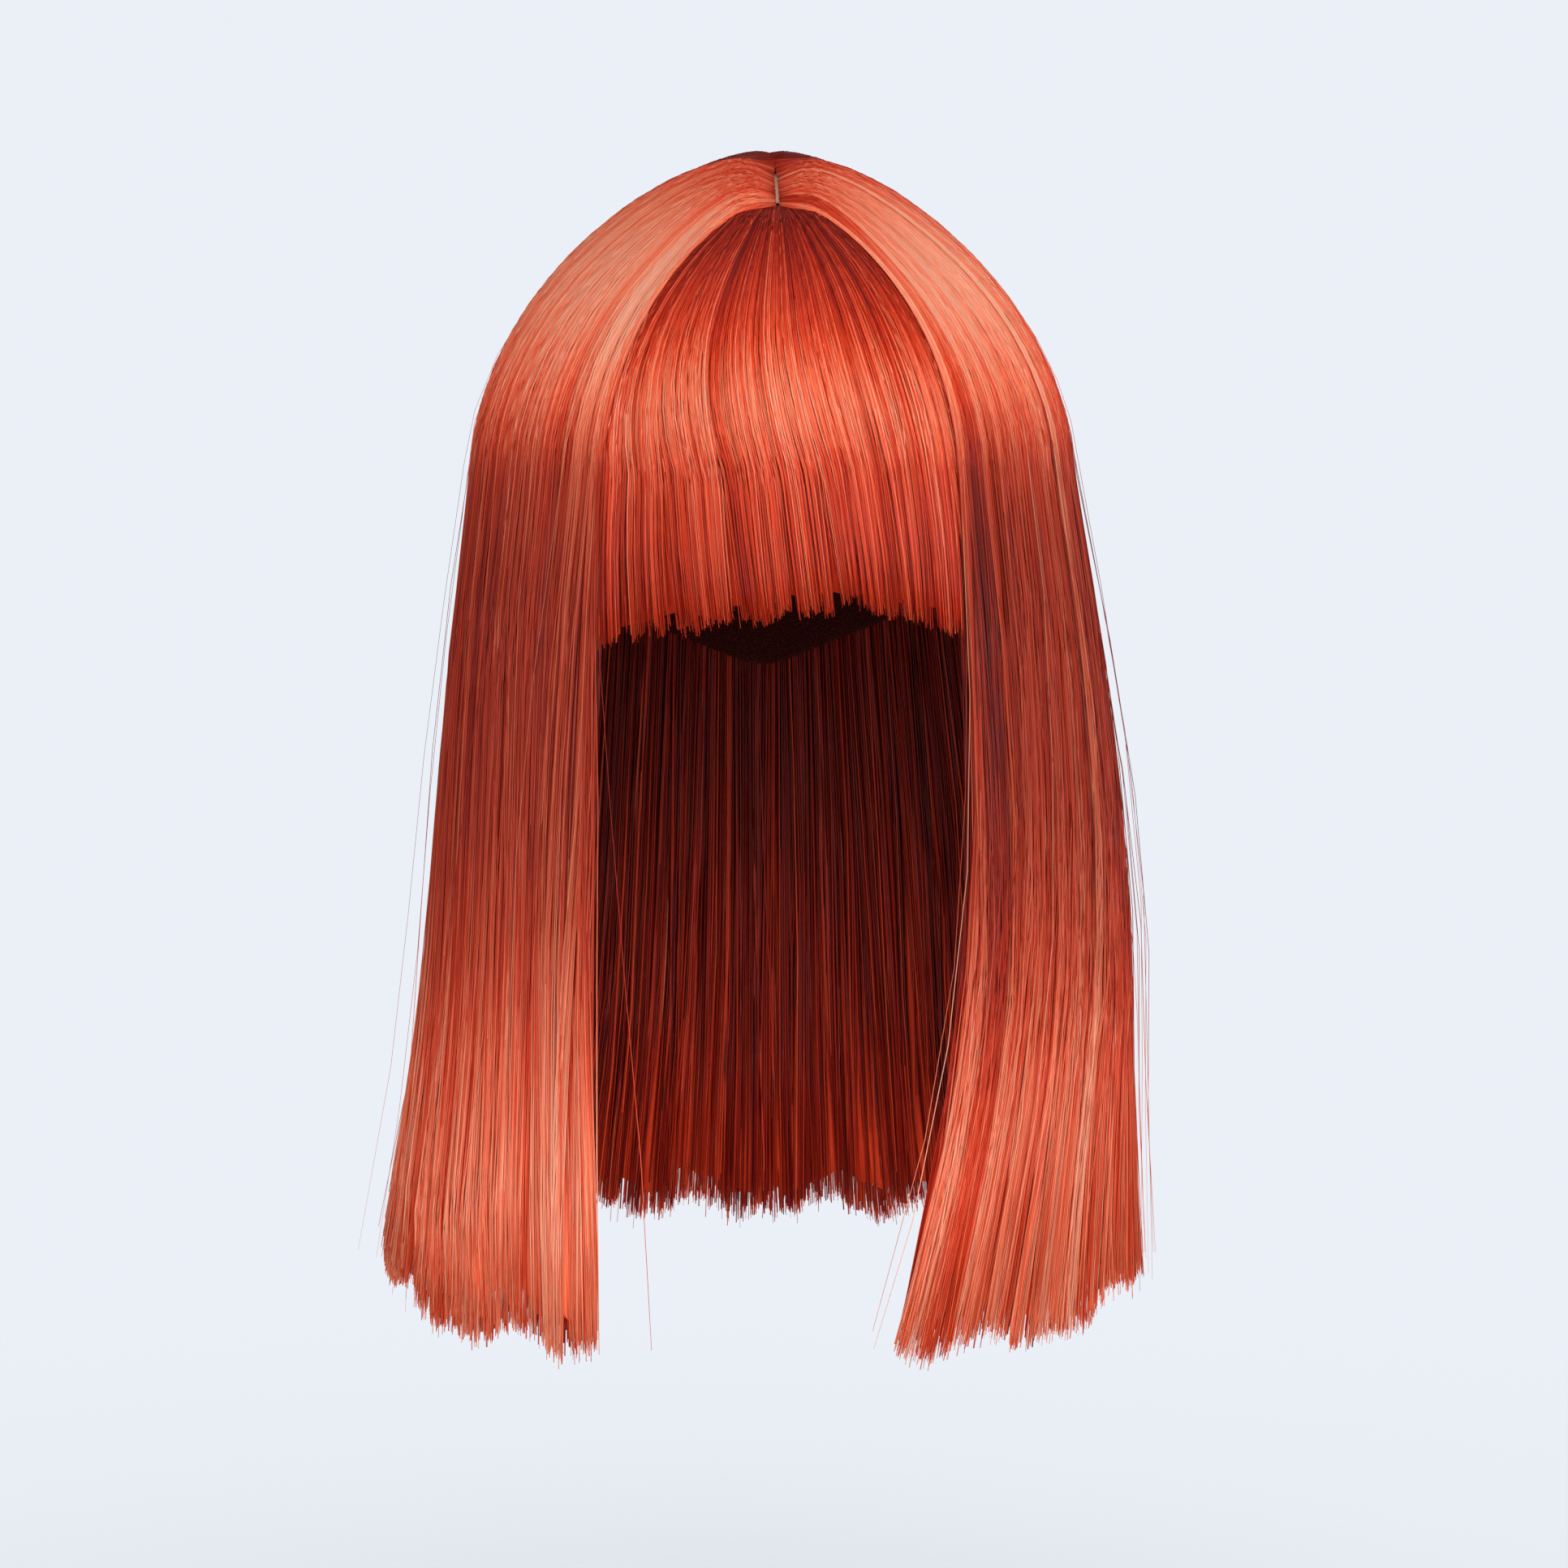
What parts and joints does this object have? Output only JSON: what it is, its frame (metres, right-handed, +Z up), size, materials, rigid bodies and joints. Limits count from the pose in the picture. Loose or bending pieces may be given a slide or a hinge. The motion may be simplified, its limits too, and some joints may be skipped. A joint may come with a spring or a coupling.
{
  "type": "bob wig",
  "caption": "Straight coral-red bob wig with a full fringe and centre parting, on a net cap, in the form it has when worn.",
  "frame": {"origin": "the top of the wearer's head, on the inside of the cap under the crown", "axes": "+Z up along the head, -Y the way the face looks, +X to the wearer's left, which is the right of the picture"},
  "size_m": [0.2232, 0.211, 0.3362],
  "materials": {
    "hair": "glossy synthetic fibre in straight strands",
    "cap_net": "matte elastic net",
    "skin_net": "matte fine net over a skin-like backing"
  },
  "bodies": {
    "root": {"cap": "cap_net", "parting_strip": "skin_net", "fringe": "hair", "front_lock_left": "hair", "temple_lock_left": "hair", "side_lock_left": "hair", "rear_lock_left": "hair", "back_lock_left": "hair", "front_lock_right": "hair", "temple_lock_right": "hair", "side_lock_right": "hair", "rear_lock_right": "hair", "back_lock_right": "hair"}
  },
  "joints": []
}
